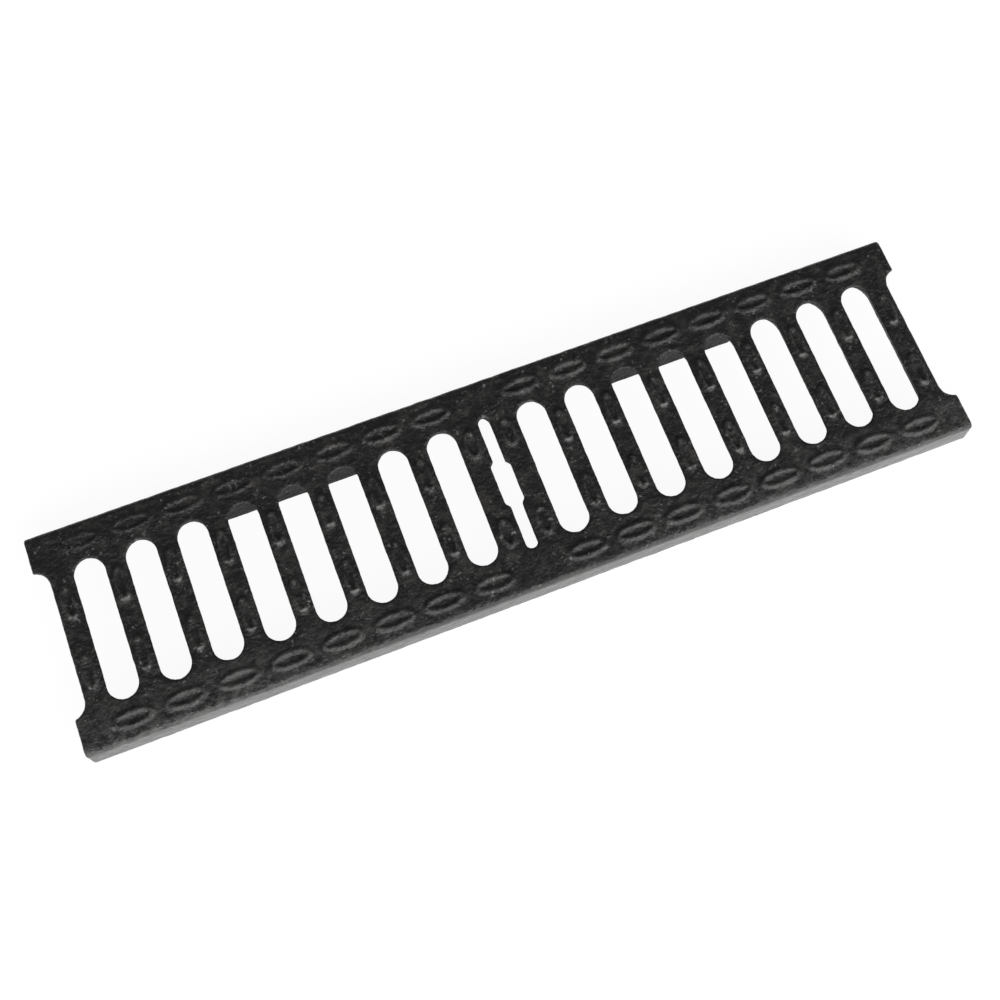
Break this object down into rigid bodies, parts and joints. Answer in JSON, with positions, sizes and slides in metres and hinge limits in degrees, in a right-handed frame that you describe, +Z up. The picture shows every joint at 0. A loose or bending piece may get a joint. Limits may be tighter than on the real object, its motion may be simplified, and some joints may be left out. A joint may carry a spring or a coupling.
{
  "type": "channel drain grate",
  "caption": "One-piece iron grate for a drainage channel, with round-ended cross slots, a narrow lock slot in the middle, raised oval grip rings and locating lugs underneath.",
  "frame": {"origin": "under the middle of the grate, at the foot of its four lugs, the lowest faces of the part", "axes": "+X along the length of the grate, +Y across it, +Z up out of the walking surface"},
  "size_m": [0.5, 0.1238, 0.022],
  "materials": {
    "black_cast_iron": "black dip paint over a rough sand casting, satin, with pale bare flecks at some edges"
  },
  "bodies": {
    "root": {"grate": "black_cast_iron"}
  },
  "joints": []
}
